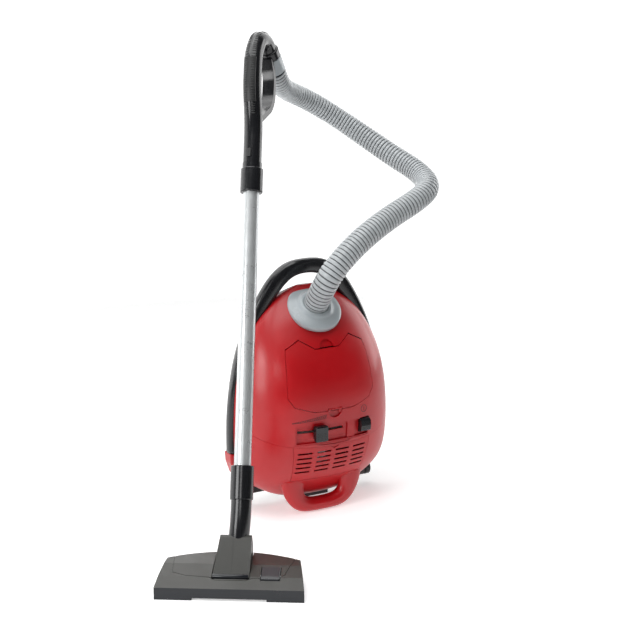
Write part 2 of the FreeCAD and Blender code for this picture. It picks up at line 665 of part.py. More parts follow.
def make_nozzle_top():
    outer = nozzle_plan(0, 0, 34).common(nozzle_profile(0))
    hollow = nozzle_plan(NOZZLE_WALL, -1, 34).common(nozzle_profile(NOZZLE_WALL))
    walls = outer.cut(hollow)
    ribs = []
    for side in (-1, 1):
        low, high = sorted((side * KNEE_SLOT_HALF, side * (KNEE_SLOT_HALF + 2.5)))
        ribs.append(block(low, high, 14, 84, 4, 34).common(nozzle_profile(1)))
    for x0 in (PEDAL[0] - 3.5, PEDAL[1] + 1.0):
        ribs.append(block(x0, x0 + 2.5, 22, 39, 4, 34).common(nozzle_profile(1)))
    shell = fuse([walls] + ribs)
    shell = shell.cut(block(-KNEE_SLOT_HALF, KNEE_SLOT_HALF, 17.5, 100, 4.0, 40))
    shell = shell.cut(block(PEDAL[0] - 0.8, PEDAL[1] + 0.8, PEDAL[2] - 0.8, PEDAL[3] + 0.8, 10, 40))
    shell = shell.cut(block(-49, 49, -5, 6, -1, 3.4))
    for (xa, ya), (xb, yb) in zip(NOZZLE_SEAM, NOZZLE_SEAM[1:]):
        run = V(xb - xa, yb - ya, 0)
        groove = block(-0.35, run.Length + 0.35, -0.35, 0.35, 10, 40)
        groove.Placement = FreeCAD.Placement(V(xa, ya, 0), FreeCAD.Rotation(X_AXIS, run))
        shell = shell.cut(groove.cut(nozzle_profile(0.7)))
    shell = shell.cut(rod((-40, HINGE_Y, HINGE_Z), X_AXIS, 2.0, 80))
    shell = shell.cut(rod((PEDAL[0] - 4, PEDAL_Y, PEDAL_Z), X_AXIS, 1.5, 34))
    return max(shell.removeSplitter().Solids, key=lambda solid: solid.Volume)


def make_nozzle_sole():
    sole = nozzle_plan(NOZZLE_WALL, 0, 4)
    sole = sole.cut(block(-70, 70, 14.5, 24, -1, 5))
    sole = sole.cut(block(-75.4, 75.4, BRUSH_Y[0] - 0.4, BRUSH_Y[1] + 0.4, -1, 5))
    return sole.cut(block(-49, 49, 0, 6.5, -1, 3.4))


def make_knee():
    """Hinge cover: flat tongue in front, cheeks, barrel below and the socket of the neck pipe."""
    side = [(22, 19), (66.5, 61), (71, 62.5), (84, 44), (84, 25), (60, 17), (30, 12.5)]
    wedge = prism(side, "x", -KNEE_HALF_W, KNEE_HALF_W)
    slant = prism([(-KNEE_HALF_W, 24), (KNEE_TAPER - KNEE_HALF_W, 63), (-40, 63), (-40, 24)], "y", 0, 110)
    inner = [(29.5, 19), (68, 56.5), (76, 70), (100, 70), (100, 0), (50, 0), (34, 0)]
    hollow = prism(inner, "x", -KNEE_HALF_W + 2.5, KNEE_HALF_W - 2.5)
    wedge = wedge.cut(hollow.cut(slant.translated(V(2.5, 0, 0))))
    bar_y, bar_z, bar_r = FOOT_BAR
    foot_bar = rod((-KNEE_HALF_W, bar_y, bar_z), X_AXIS, bar_r, 2 * KNEE_HALF_W)
    barrel = rod((-KNEE_HALF_W, HINGE_Y, HINGE_Z), X_AXIS, HINGE_R, 2 * KNEE_HALF_W)
    axis = (ELBOW - NECK_FOOT).normalize()
    floor = NECK_FOOT - axis * 2.3
    socket = rod(floor, axis, NECK_R + 2.0, 24)
    webs = [block(low, low + 7, 60, 84, 26, 38) for low in (-KNEE_HALF_W + 0.5, KNEE_HALF_W - 7.5)]
    knee = fuse([wedge, barrel, foot_bar, socket] + webs).cut(slant)
    knee = knee.cut(rod(NECK_FOOT, axis, NECK_R + RUN_FIT, 60))
    knee = knee.cut(rod(NECK_FOOT - axis * 10, axis, NECK_R - 4, 60))
    knee = knee.cut(rod((-40, HINGE_Y, HINGE_Z), X_AXIS, 2.0 + RUN_FIT, 80))
    return max(knee.removeSplitter().Solids, key=lambda solid: solid.Volume)


def make_neck_pipe():
    """Bent pipe: turns in the knee's socket below and carries the lower collar above."""
    lower_axis = (ELBOW - NECK_FOOT).normalize()
    lean = math.radians(TUBE_LEAN)
    upper_axis = V(0, math.sin(lean), math.cos(lean))
    route = [tuple(NECK_FOOT + lower_axis * 0.3), tuple(ELBOW), tuple(ELBOW + upper_axis * 44)]
    neck = swept(route, NECK_R).cut(swept(route, NECK_R - 2.5))
    return neck.cut(pipe(ELBOW + upper_axis * 28, upper_axis, NECK_R + 2, NECK_R - 1.2, 30))


pedal_body = block(*PEDAL, PEDAL_Z - 3.5, 40).common(nozzle_profile(-1.6))
pedal_body = softened(pedal_body, 1.0).cut(rod((0, PEDAL_Y, PEDAL_Z), X_AXIS, 1.5 + RUN_FIT, 100))
save("nozzle_top", placed(make_nozzle_top(), WAND))
save("nozzle_sole", placed(make_nozzle_sole(), WAND))
save("hinge_cover", placed(make_knee(), WAND))
save("neck_pipe", placed(make_neck_pipe(), WAND))
save("nozzle_pedal", placed(pedal_body, WAND))
save("pedal_pin", placed(rod((PEDAL[0] - 3.5, PEDAL_Y, PEDAL_Z), X_AXIS, 1.5, 32), WAND))
save("nozzle_axle", placed(rod((-29.5, HINGE_Y, HINGE_Z), X_AXIS, 2.0, 59), WAND))
brush = block(-75, 75, BRUSH_Y[0], BRUSH_Y[1], 0.6, 9)
save("brush_strip", placed(brush, WAND))

# ---------------------------------------------------------------- tube and collars, tube frame
lower_collar = softened(rod((0, 0, 28), Z_AXIS, COLLAR_R, 46), 1.2)
lower_collar = lower_collar.cut(rod((0, 0, 27), Z_AXIS, NECK_R - 1.2, 18))
lower_collar = lower_collar.cut(rod((0, 0, 44), Z_AXIS, TUBE_R, 40))
save("lower_collar", placed(lower_collar, TUBE))
save("wand_tube", placed(pipe((0, 0, 46), Z_AXIS, TUBE_R, TUBE_R - 1.0, 430), TUBE))
upper_collar = softened(rod((0, 0, 456), Z_AXIS, COLLAR_R + 0.3, 35), 1.8)
upper_collar = upper_collar.cut(rod((0, 0, 455), Z_AXIS, TUBE_R, 22))
upper_collar = upper_collar.cut(rod((0, 0, 476), Z_AXIS, TUBE_R - 0.4, 20))
save("upper_collar", placed(upper_collar, TUBE))

# ---------------------------------------------------------------- handle, handle frame (Y back, Z along)
GRIP_PATH = [(0, 0, 478), (0, 0, 560), (0, -10, 608), (0, -9, 656), (0, 6, 685), (0, 31, 692), (0, 50, 680)]
STRUT_PATH = [(0, 41, 669), (0, 55.5, 646), (0, 54, 600), (0, 6, 564)]
STRUT_HALF_W = 9.0         # the strut is a flat web behind the grip
STRUT_HALF_T = 4.0
OUTLET = V(0, 50, 680)
OUTLET_DIR = V(0, 0.849, -0.529)
CUFF_START = 6.0
CUFF_LENGTH = 24.0


def swept_bar(points, half_wide, half_thick):
    """A flat bar along a rounded path in the Y-Z plane."""
    path = rounded_path(points)
    first = path.Edges[0]
    square = first.tangentAt(first.FirstParameter).cross(X_AXIS).normalize()
    start = V(*points[0])
    corners = [start + X_AXIS * half_wide * a + square * half_thick * b
               for a, b in ((-1, -1), (1, -1), (1, 1), (-1, 1))]
    section = Part.makePolygon(corners + [corners[0]])
    return path.makePipeShell([section], True, False)


def make_handle():
    """The whole grip as one hollow solid, split afterwards into its two half shells."""
    grip = swept([(0, 0, 492), *GRIP_PATH[1:]], GRIP_R)
    air = swept([(0, 0, 470), *GRIP_PATH[1:-1], (0, 52, 678.7)], GRIP_R - 3)
    neck_ring = rod((0, 0, 491.2), Z_AXIS, 14.0, 8)
    spigot = rod((0, 0, 477), Z_AXIS, TUBE_R - 0.4, 16)
    collar = rod(OUTLET - OUTLET_DIR * 8, OUTLET_DIR, 15.8, 14)
    strut = swept_bar(STRUT_PATH, STRUT_HALF_W, STRUT_HALF_T)
    solid = fuse([grip, neck_ring, spigot, softened(collar, 2.0), strut])
    solid = solid.cut(air)
    solid = solid.cut(rod((0, 0, 470), Z_AXIS, GRIP_R - 3.4, 60))
    solid = solid.cut(rod(OUTLET - OUTLET_DIR * 2, OUTLET_DIR, 12.5, 20))
    solid = solid.cut(rod(OUTLET + OUTLET_DIR * CUFF_START, OUTLET_DIR, 16.3, CUFF_LENGTH))
    solid = solid.cut(block(-3.4, 3.4, -16, -8, 505.6, 518.4))
    return solid


handle = make_handle()
right_half = handle.common(block(0, 60, -80, 120, 440, 760))
left_half = handle.common(block(-60, 0, -80, 120, 440, 760))
save("handle_left", placed(max(left_half.Solids, key=lambda s: s.Volume), HANDLE))
save("handle_right", placed(max(right_half.Solids, key=lambda s: s.Volume), HANDLE))
pad = swept([(0, -4.8, 583), (0, -10.2, 610), (0, -9, 652)], GRIP_R + 1.0)
pad = pad.cut(handle).cut(swept([(0, 0, 492), *GRIP_PATH[1:]], GRIP_R))
pad = pad.common(block(-9, 9, -40, -8, 585, 650))
save("grip_pad", placed(max(pad.Solids, key=lambda s: s.Volume), HANDLE))
button = softened(block(-3, 3, -14.2, -9.6, 506, 518), 0.8)
save("latch_button", placed(button, HANDLE))
cuff = pipe(OUTLET + OUTLET_DIR * CUFF_START, OUTLET_DIR, 16.0, 12.5, CUFF_LENGTH)
save("hose_cuff", placed(cuff, HANDLE))

# ---------------------------------------------------------------- hose
hose = swept(HOSE_POINTS, HOSE_R, report="hose")
cuff_end = placed(rod(OUTLET + OUTLET_DIR * (CUFF_START - 10), OUTLET_DIR, 40, CUFF_LENGTH + 10.2), HANDLE)
save("hose", hose.cut(cuff_end))
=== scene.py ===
import json
import math

import bpy
import numpy as np
from mathutils import Matrix, Vector
from mathutils.bvhtree import BVHTree


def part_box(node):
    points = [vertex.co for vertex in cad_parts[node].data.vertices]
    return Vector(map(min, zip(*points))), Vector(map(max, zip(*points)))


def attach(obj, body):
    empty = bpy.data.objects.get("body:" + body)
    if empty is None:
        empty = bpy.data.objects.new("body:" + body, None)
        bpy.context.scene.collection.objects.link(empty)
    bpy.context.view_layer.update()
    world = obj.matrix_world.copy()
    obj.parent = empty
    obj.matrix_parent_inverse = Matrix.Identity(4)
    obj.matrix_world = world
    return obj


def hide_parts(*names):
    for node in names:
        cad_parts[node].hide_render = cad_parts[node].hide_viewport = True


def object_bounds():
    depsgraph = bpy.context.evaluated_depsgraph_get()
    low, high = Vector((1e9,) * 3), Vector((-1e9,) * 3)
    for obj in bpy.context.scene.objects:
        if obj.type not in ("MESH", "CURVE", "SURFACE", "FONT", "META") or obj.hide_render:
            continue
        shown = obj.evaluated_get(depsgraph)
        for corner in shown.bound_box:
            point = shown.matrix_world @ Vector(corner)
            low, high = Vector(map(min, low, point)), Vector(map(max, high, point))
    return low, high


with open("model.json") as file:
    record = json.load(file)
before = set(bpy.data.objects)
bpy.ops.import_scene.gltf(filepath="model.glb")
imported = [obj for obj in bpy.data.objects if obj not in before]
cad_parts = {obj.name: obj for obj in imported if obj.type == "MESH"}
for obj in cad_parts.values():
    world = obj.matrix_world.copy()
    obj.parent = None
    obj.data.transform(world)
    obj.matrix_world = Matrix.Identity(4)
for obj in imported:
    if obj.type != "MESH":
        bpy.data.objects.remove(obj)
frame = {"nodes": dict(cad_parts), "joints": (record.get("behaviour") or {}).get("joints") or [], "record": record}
CAD_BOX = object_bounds()
NODES = frame["nodes"]
JOINTS = {joint["name"]: joint for joint in frame["joints"]}
ROOT = "canister"
MM = 0.001

# ---------------------------------------------------------------- camera
CAMERA_PLACE = Vector((-0.981, -1.828, 0.857))
CAMERA_YAW = 28.0          # degrees towards the machine's right flank
CAMERA_PITCH = 15.0        # degrees below the horizon
LENS = 84.3
SENSOR_WIDTH = 36.0
FAR_CLIP = 20.0


def add_camera():
    data = bpy.data.cameras.new("camera")
    data.lens = LENS
    data.sensor_width = SENSOR_WIDTH
    data.clip_end = FAR_CLIP
    camera = bpy.data.objects.new("camera", data)
    camera.location = CAMERA_PLACE
    camera.rotation_euler = (math.radians(90 - CAMERA_PITCH), 0, math.radians(-CAMERA_YAW))
    bpy.context.scene.collection.objects.link(camera)
    bpy.context.scene.camera = camera


add_camera()


# ---------------------------------------------------------------- node material helpers
MIDDLE = (0.3, 0.7)        # the band that a noise value mostly lies in
WIDE_MIDDLE = (0.25, 0.75)
FULL = (0.0, 1.0)


class Nodes:
    """A small builder for one material's node tree."""

    def __init__(self, name):
        self.material = bpy.data.materials.new(name)
        self.material.use_nodes = True
        self.tree = self.material.node_tree
        self.shader = self.tree.nodes["Principled BSDF"]
        self.place = self.add("ShaderNodeTexCoord").outputs["Object"]

    def add(self, kind, **values):
        node = self.tree.nodes.new(kind)
        for key, value in values.items():
            setattr(node, key, value)
        return node

    def link(self, source, target):
        self.tree.links.new(source, target)

    def stretched(self, scale):
        node = self.add("ShaderNodeMapping")
        node.inputs["Scale"].default_value = scale
        self.link(self.place, node.inputs["Vector"])
        return node.outputs["Vector"]

    def noise(self, scale, detail=3.0, roughness=0.5, vector=None):
        node = self.add("ShaderNodeTexNoise")
        node.inputs["Scale"].default_value = scale
        node.inputs["Detail"].default_value = detail
        node.inputs["Roughness"].default_value = roughness
        self.link(vector or self.place, node.inputs["Vector"])
        return node.outputs["Fac"]

    def spread(self, value, low, high, to_low, to_high):
        node = self.add("ShaderNodeMapRange")
        limits = {"From Min": low, "From Max": high, "To Min": to_low, "To Max": to_high}
        for key, number in limits.items():
            node.inputs[key].default_value = number
        self.link(value, node.inputs["Value"])
        return node.outputs["Result"]

    def mix(self, share, first, second):
        node = self.add("ShaderNodeMix", data_type="RGBA")
        self.link(share, node.inputs[0])
        for socket, colour in ((node.inputs[6], first), (node.inputs[7], second)):
            if isinstance(colour, tuple):
                socket.default_value = (*colour, 1.0)
            else:
                self.link(colour, socket)
        return node.outputs[2]

    def bump(self, height, strength, distance, below=None):
        node = self.add("ShaderNodeBump")
        node.inputs["Strength"].default_value = strength
        node.inputs["Distance"].default_value = distance
        self.link(height, node.inputs["Height"])
        if below is not None:
            self.link(below, node.inputs["Normal"])
        return node.outputs["Normal"]

    def set(self, socket, value):
        target = self.shader.inputs[socket]
        if isinstance(value, bpy.types.NodeSocket):
            self.link(value, target)
        else:
            target.default_value = value


def shaded(colour, factor):
    return tuple(min(1.0, channel * factor) for channel in colour)


COAT_ROUGHNESS = 0.18
DUST_BAND = (0.72, 0.8)
SCUFF_BAND = (0.62, 0.7)
SCUFF_STRETCH = (30.0, 420.0, 90.0)


def moulded(name, colour, roughness, grain=0.12, grain_scale=2200.0, coat=0.0, dust=0.35,
            variation=0.08):
    """Injection-moulded plastic: faint flow marks, fine surface grain, handling haze, scuffs and dust."""
    m = Nodes(name)
    flow = m.noise(9.0, 4.0, 0.55)
    cloud = m.spread(flow, *MIDDLE, *FULL)
    tone = m.mix(cloud, shaded(colour, 1 - variation), shaded(colour, 1 + variation))
    specks = m.spread(m.noise(1400.0, 1.0, 0.5), *DUST_BAND, 0.0, dust)
    m.set("Base Color", m.mix(specks, tone, tuple(0.75 * channel + 0.18 for channel in colour)))
    haze = m.noise(38.0, 5.0, 0.6)
    m.set("Roughness", m.spread(haze, *WIDE_MIDDLE, roughness - 0.06, roughness + 0.07))
    if coat:
        m.set("Coat Weight", coat)
        m.set("Coat Roughness", COAT_ROUGHNESS)
    scuffs = m.noise(1.0, 6.0, 0.7, m.stretched(SCUFF_STRETCH))
    normal = m.bump(m.spread(scuffs, *SCUFF_BAND, *FULL), 0.05, 0.00006)
    normal = m.bump(m.noise(grain_scale, 2.0, 0.6), grain, 0.0001, normal)
    m.set("Normal", normal)
    return m.material


def metal(name, colour, roughness, metallic=1.0, direction=(60.0, 60.0, 900.0)):
    """Drawn or brushed metal: long fine lines and slightly uneven gloss."""
    m = Nodes(name)
    lines = m.noise(1.0, 5.0, 0.65, m.stretched(direction))
    tone = m.spread(lines, *MIDDLE, *FULL)
    m.set("Base Color", m.mix(tone, shaded(colour, 0.92), shaded(colour, 1.06)))
    m.set("Metallic", metallic)
    haze = m.noise(45.0, 4.0, 0.6)
    m.set("Roughness", m.spread(haze, *WIDE_MIDDLE, roughness - 0.06, roughness + 0.08))
    m.set("Normal", m.bump(lines, 0.08, 0.00005))
    return m.material


GROOVE_SHADE_BAND = (0.15, 0.7)  # the rib values between the painted shade down in the grooves and a crest's full tone


def ribbed(name, colour, groove_shade):
    """Soft hose plastic with painted shade in its grooves: the mesh's own rib attribute darkens what lies down in
    the grooves.
    """
    m = Nodes(name)
    rib = m.add("ShaderNodeAttribute", attribute_name="rib").outputs["Fac"]
    cloud = m.spread(m.noise(16.0, 4.0), *MIDDLE, *FULL)
    tone = m.mix(cloud, shaded(colour, 0.94), shaded(colour, 1.05))
    # painted shade: the colour goes towards the dark shade colour down in the grooves
    m.set("Base Color", m.mix(m.spread(rib, *GROOVE_SHADE_BAND, *FULL), groove_shade, tone))
    m.set("Roughness", m.spread(m.noise(60.0, 4.0), *WIDE_MIDDLE, 0.2, 0.34))
    m.set("Normal", m.bump(m.noise(1500.0, 3.0), 0.08, 0.0001))
    return m.material


TONE_EDGE = 0.2 * MM        # half the height over which the painted lit top and the shaded skirt meet
SKIRT_GLOSSIER = 0.12


def lit_top_shaded_skirt(name, upper, lower, level, roughness):
    """Satin moulding whose skirt below a level is a glossier black, painted darker and bluer as shade on the front
    wall; above the level it is painted lighter and greyer as light on the top.
    """
    m = Nodes(name)
    height = m.add("ShaderNodeSeparateXYZ")
    m.link(m.place, height.inputs["Vector"])
    share = m.spread(height.outputs["Z"], level - TONE_EDGE, level + TONE_EDGE, *FULL)
    cloud = m.spread(m.noise(14.0, 5.0, 0.6), *MIDDLE, *FULL)
    top = m.mix(cloud, shaded(upper, 0.9), shaded(upper, 1.12))
    # painted light: the lighter top tone and the darker, bluer skirt tone stand in for light on the top and shade
    # on the front wall
    m.set("Base Color", m.mix(share, lower, top))
    haze = m.spread(m.noise(42.0, 5.0, 0.6), *WIDE_MIDDLE, -0.05, 0.06)
    gloss = m.add("ShaderNodeMath", operation="ADD")
    m.link(m.spread(share, *FULL, roughness - SKIRT_GLOSSIER, roughness), gloss.inputs[0])
    m.link(haze, gloss.inputs[1])
    m.set("Roughness", gloss.outputs[0])
    m.set("Normal", m.bump(m.noise(1700.0, 3.0, 0.6), 0.2, 0.00012))
    return m.material


def mesh_cloth(name, colour):
    """Woven filter mesh."""
    m = Nodes(name)
    weave = m.add("ShaderNodeTexChecker")
    weave.inputs["Scale"].default_value = 900.0
    m.link(m.place, weave.inputs["Vector"])
    m.set("Base Color", m.mix(weave.outputs["Fac"], shaded(colour, 0.6), colour))
    m.set("Roughness", 0.8)
    m.set("Normal", m.bump(weave.outputs["Fac"], 0.4, 0.0002))
    return m.material


RED = (0.44, 0.0012, 0.005)
BLACK = (0.0085, 0.009, 0.0105)
# painted light: the nozzle's top painted lighter as lit, its front skirt darker and bluer as in shade
NOZZLE_TOP_LIT = (0.022, 0.022, 0.0178)
NOZZLE_SKIRT_SHADED = (0.0040, 0.0056, 0.0092)
SKIRT_TOP = 0.0168          # where the nozzle's skirt ends, above the floor
HOSE_GREY = (0.43, 0.455, 0.47)
# painted shade: the dark that the hose is darkened to down in its grooves
HOSE_GROOVE_SHADE = (0.022, 0.026, 0.03)
MATERIALS = {
    "red_shell": moulded("red_shell", RED, 0.36, grain=0.16, coat=0.12, dust=0.10),
    "red_panel": moulded("red_panel", RED, 0.42, grain=0.2, dust=0.10),
    "black_gloss": moulded("black_gloss", BLACK, 0.2, grain=0.08, dust=0.12),
    "black_matte": moulded("black_matte", (0.011, 0.0115, 0.012), 0.48, grain=0.35,
                           grain_scale=1500.0, dust=0.12),
    "nozzle_grey": lit_top_shaded_skirt("nozzle_grey", NOZZLE_TOP_LIT, NOZZLE_SKIRT_SHADED, SKIRT_TOP, 0.42),
    "blue_black": moulded("blue_black", (0.007, 0.009, 0.013), 0.30, grain=0.1, dust=0.15),
    "silver_tube": metal("silver_tube", (0.56, 0.58, 0.585), 0.30, metallic=0.55,
                         direction=(260.0, 260.0, 3.0)),
    "grey_plastic": moulded("grey_plastic", (0.38, 0.42, 0.44), 0.24, grain=0.1, dust=0.1,
                            variation=0.04),
    "grey_hose": ribbed("grey_hose", HOSE_GREY, HOSE_GROOVE_SHADE),
    "clear_box": moulded("clear_box", (0.10, 0.105, 0.11), 0.2, grain=0.05, dust=0.4),
    "filter_mesh": mesh_cloth("filter_mesh", (0.7, 0.7, 0.66)),
    "steel": metal("steel", (0.55, 0.55, 0.56), 0.3),
    "motor_can": metal("motor_can", (0.5, 0.5, 0.5), 0.35),
    "white_plastic": moulded("white_plastic", (0.62, 0.62, 0.58), 0.45, dust=0.2),
    "brass": metal("brass", (0.7, 0.5, 0.2), 0.28),
    "cell_wrap": moulded("cell_wrap", (0.05, 0.16, 0.12), 0.25, grain=0.04),
    "bristle": moulded("bristle", (0.02, 0.02, 0.02), 0.7, grain=0.6, grain_scale=900.0),
    "roller_black": moulded("roller_black", (0.009, 0.009, 0.0095), 0.38, grain=0.25, dust=0.25),
}
PRINT = moulded("print_ink", (0.02, 0.006, 0.007), 0.55, grain=0.05, dust=0.0)


def paint_frame():
    """Gives every CAD node its material, in the slots it already has."""
    for row in frame["record"]["subparts"]:
        node = NODES[row["node"]]
        for place in node.material_slots:
            place.material = MATERIALS[row["material_slot"]]


paint_frame()


# ---------------------------------------------------------------- mesh helpers
def piece(name, points, faces, body, slot, material=None, smooth=True):
    """One mesh piece in the row frame, riding on a body."""
    mesh = bpy.data.meshes.new(name)
    mesh.from_pydata([tuple(point) for point in points], [], faces)
    mesh.validate()
    mesh.update()
    if smooth:
        mesh.polygons.foreach_set("use_smooth", [True] * len(mesh.polygons))
    mesh.materials.append(material or MATERIALS[slot])
    result = bpy.data.objects.new(name, mesh)
    bpy.context.scene.collection.objects.link(result)
    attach(result, body)
    return result


def tree(*names):
    """One ray-casting tree over several CAD nodes."""
    points = []
    faces = []
    for name in names:
        mesh = NODES[name].data
        start = len(points)
        points += [vertex.co.copy() for vertex in mesh.vertices]
        faces += [[start + i for i in polygon.vertices] for polygon in mesh.polygons]
    return BVHTree.FromPolygons(points, faces)


def circle(centre, side, up, radius, steps):
    """Points evenly round a centre, in the plane of two unit vectors."""
    turns = [2 * math.pi * k / steps for k in range(steps)]
    return [centre + (side * math.cos(turn) + up * math.sin(turn)) * radius for turn in turns]


def rings(name, loops, body, slot, closed=False):
    """A skin over rings of equal count, with its ends capped, or joined to each other if closed."""
    count = len(loops[0])
    points = [point for loop in loops for point in loop]
    faces = []
    pairs = list(range(len(loops) - 1)) + ([len(loops) - 1] if closed else [])
    for i in pairs:
        j = (i + 1) % len(loops)
        for k in range(count):
            m = (k + 1) % count
            faces.append((i * count + k, i * count + m, j * count + m, j * count + k))
    if not closed:
        faces.append(tuple(reversed(range(count))))
        faces.append(tuple(range(len(points) - count, len(points))))
    return piece(name, points, faces, body, slot)


def across(direction):
    """Two unit vectors square to a direction."""
    direction = Vector(direction).normalized()
    side = direction.orthogonal().normalized()
    return side, direction.cross(side).normalized()


def lathe(name, centre, axis, profile, body, slot, steps=96):
    """A turned form: profile is (radius, height) pairs, the corners of its closed section in order."""
    side, up = across(axis)
    axis = Vector(axis).normalized()
    loops = [circle(Vector(centre) + axis * height, side, up, radius, steps) for radius, height in profile]
    return rings(name, loops, body, slot, closed=True)


BEAD_STEPS = 10
BEAD_LEVELS = [(-0.4, 1.0), (0.35, 1.0), (0.8, 0.72), (1.0, 0.3)]    # height and width, as shares


def bead(points, faces, centre, along, normal, size):
    """Adds one rounded bead, its foot sunk in the surface; size is length, width, height."""
    across_way = Vector(normal).cross(Vector(along)).normalized()
    start = len(points)
    for level, shrink in BEAD_LEVELS:
        for k in range(BEAD_STEPS):
            angle = 2 * math.pi * k / BEAD_STEPS
            points.append(
                Vector(centre)
                + Vector(along) * (math.cos(angle) * size[0] / 2 * shrink)
                + across_way * (math.sin(angle) * size[1] / 2 * shrink)
                + Vector(normal) * (level * size[2])
            )
    last = start + (len(BEAD_LEVELS) - 1) * BEAD_STEPS
    for low in range(start, last, BEAD_STEPS):
        high = low + BEAD_STEPS
        for k in range(BEAD_STEPS):
            m = (k + 1) % BEAD_STEPS
            faces.append((low + k, low + m, high + m, high + k))
    faces.append(tuple(reversed(range(start, start + BEAD_STEPS))))
    faces.append(tuple(range(last, last + BEAD_STEPS)))


# ---------------------------------------------------------------- hose
HOSE_POINTS = [
    (-0.002, 0.139, 0.642), (0.0115, 0.152, 0.6205), (0.043, 0.190, 0.605), (0.086, 0.204, 0.588),
    (0.131, 0.195, 0.560), (0.166, 0.163, 0.530), (0.192, 0.118, 0.503), (0.212, 0.074, 0.483),
    (0.205, 0.031, 0.467), (0.168, 0.014, 0.452), (0.120, 0.007, 0.434), (0.066, -0.005, 0.409),
    (0.022, -0.013, 0.378), (0.0, -0.008, 0.345), (0.0, 0.0154, 0.3128),
]
RIB_PITCH = 0.0058
RINGS_PER_RIB = 8
RIB_DEPTH = 0.0013
HOSE_THIN = 0.0157         # outer radius at the handle
HOSE_WIDE = 0.0182         # and at the rosette
HOSE_STEPS = 48
WIDENS_FROM = 0.05         # share of the length where the widening starts
WIDENS_OVER = 0.75
CREST_GAIN = 1.6           # above 1, so that a rib's top is cut off flat
CREST_POWER = 1.3


def nurbs_line(points):
    """The smooth line that a NURBS spline makes of given points."""
    curve = bpy.data.curves.new("route", "CURVE")
    curve.dimensions = "3D"
    curve.resolution_u = 24
    spline = curve.splines.new("NURBS")
    spline.points.add(len(points) - 1)
    for place, point in zip(spline.points, points):
        place.co = (*point, 1.0)
    spline.order_u = 3
    spline.use_endpoint_u = True
    holder = bpy.data.objects.new("route", curve)
    bpy.context.scene.collection.objects.link(holder)
    bpy.context.view_layer.update()
    mesh = bpy.data.meshes.new_from_object(holder)
    line = [vertex.co.copy() for vertex in mesh.vertices]
    bpy.data.objects.remove(holder)
    bpy.data.meshes.remove(mesh)
    return line


def even_steps(line, step):
    """The line's own points respaced, with each one's direction."""
    gaps = [(b - a).length for a, b in zip(line, line[1:])]
    marks = np.concatenate([[0.0], np.cumsum(gaps)])
    count = int(round(marks[-1] / step))
    stations = np.linspace(0, marks[-1], count + 1)
    array = np.array([list(point) for point in line])
    spaced = np.stack([np.interp(stations, marks, array[:, i]) for i in range(3)], axis=1)
    ways = np.gradient(spaced, axis=0)
    ways /= np.linalg.norm(ways, axis=1)[:, None]
    return spaced, ways, marks[-1]


def make_hose():
    line = nurbs_line(HOSE_POINTS)
    spaced, ways, length = even_steps(line, RIB_PITCH / RINGS_PER_RIB)
    side = Vector(ways[0]).orthogonal().normalized()
    loops = []
    ribs = []
    for i, (place, way) in enumerate(zip(spaced, ways)):
        way = Vector(way)
        side = (side - way * side.dot(way)).normalized()
        up = way.cross(side)
        share = i / (len(spaced) - 1)
        phase = (i % RINGS_PER_RIB) / RINGS_PER_RIB
        crest = min(1.0, CREST_GAIN * math.sin(math.pi * phase) ** CREST_POWER)
        swell = min(1.0, max(0.0, (share - WIDENS_FROM) / WIDENS_OVER))
        radius = HOSE_THIN + (HOSE_WIDE - HOSE_THIN) * swell - RIB_DEPTH * (1 - crest)
        loops.append(circle(Vector(place), side, up, radius, HOSE_STEPS))
        ribs += [crest] * HOSE_STEPS
    hose = rings("hose_ribbed", loops, ROOT, "grey_hose")
    # crest values, which the hose material turns into painted shade down in the grooves
    layer = hose.data.attributes.new("rib", "FLOAT", "POINT")
    layer.data.foreach_set("value", np.array(ribs, np.float32))
    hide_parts("hose")


make_hose()


# ---------------------------------------------------------------- frame of the handle, read from the CAD
TUBE_LOW_END = 0.046       # the tube's lower end, along the handle frame's Z


def handle_frame():
    """Z runs up the wand tube and Y to the grip's rear, the way its latch button is pressed."""
    points = np.array([list(vertex.co) for vertex in NODES["wand_tube"].data.vertices])
    centre = points.mean(axis=0)
    axis = np.linalg.svd(points - centre, full_matrices=False)[2][0]
    axis = axis if axis[2] > 0 else -axis
    low = ((points - centre) @ axis).min()
    # the middle of their box is a steadier centre for points round an axis than their mean
    up = Vector(axis)
    rear = Vector(JOINTS["tube_latch_press"]["axis"])
    rear = (rear - up * rear.dot(up)).normalized()
    side = rear.cross(up)
    spread = points - centre
    for way in (side, rear):
        reach = spread @ np.array(way)
        centre = centre + np.array(way) * (reach.max() + reach.min()) / 2
    origin = Vector(centre + axis * (low - TUBE_LOW_END))
    turn = Matrix((side, rear, up)).transposed().to_4x4()
    return Matrix.Translation(origin) @ turn


HANDLE = handle_frame()


# ---------------------------------------------------------------- rosette
ROSETTE_TILT = 52.7        # degrees that its face looks up from straight ahead
ROSETTE_CENTRE = Vector((0, 0.019, 0.308))
# radius and height: the raised ring round the hose, the sloping disc, its edge and its back
ROSETTE_PROFILE = [
    (0.0182, 0.0042), (0.0182, 0.0086), (0.0190, 0.0096), (0.0205, 0.0100), (0.0222, 0.0099),
    (0.0238, 0.0093), (0.0250, 0.0082), (0.0259, 0.0067), (0.0268, 0.0055), (0.0282, 0.0047),
    (0.0310, 0.0041), (0.0350, 0.0034), (0.0385, 0.0026), (0.0402, 0.0018), (0.0410, 0.0008),
    (0.0413, -0.0006), (0.0413, -0.0060), (0.0180, -0.0060),
]


def make_rosette():
    tilt = math.radians(ROSETTE_TILT)
    normal = Vector((0, -math.cos(tilt), math.sin(tilt)))
    rosette = lathe("rosette_disc", ROSETTE_CENTRE, normal, ROSETTE_PROFILE, ROOT, "grey_plastic")
    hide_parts("hose_rosette")


make_rosette()

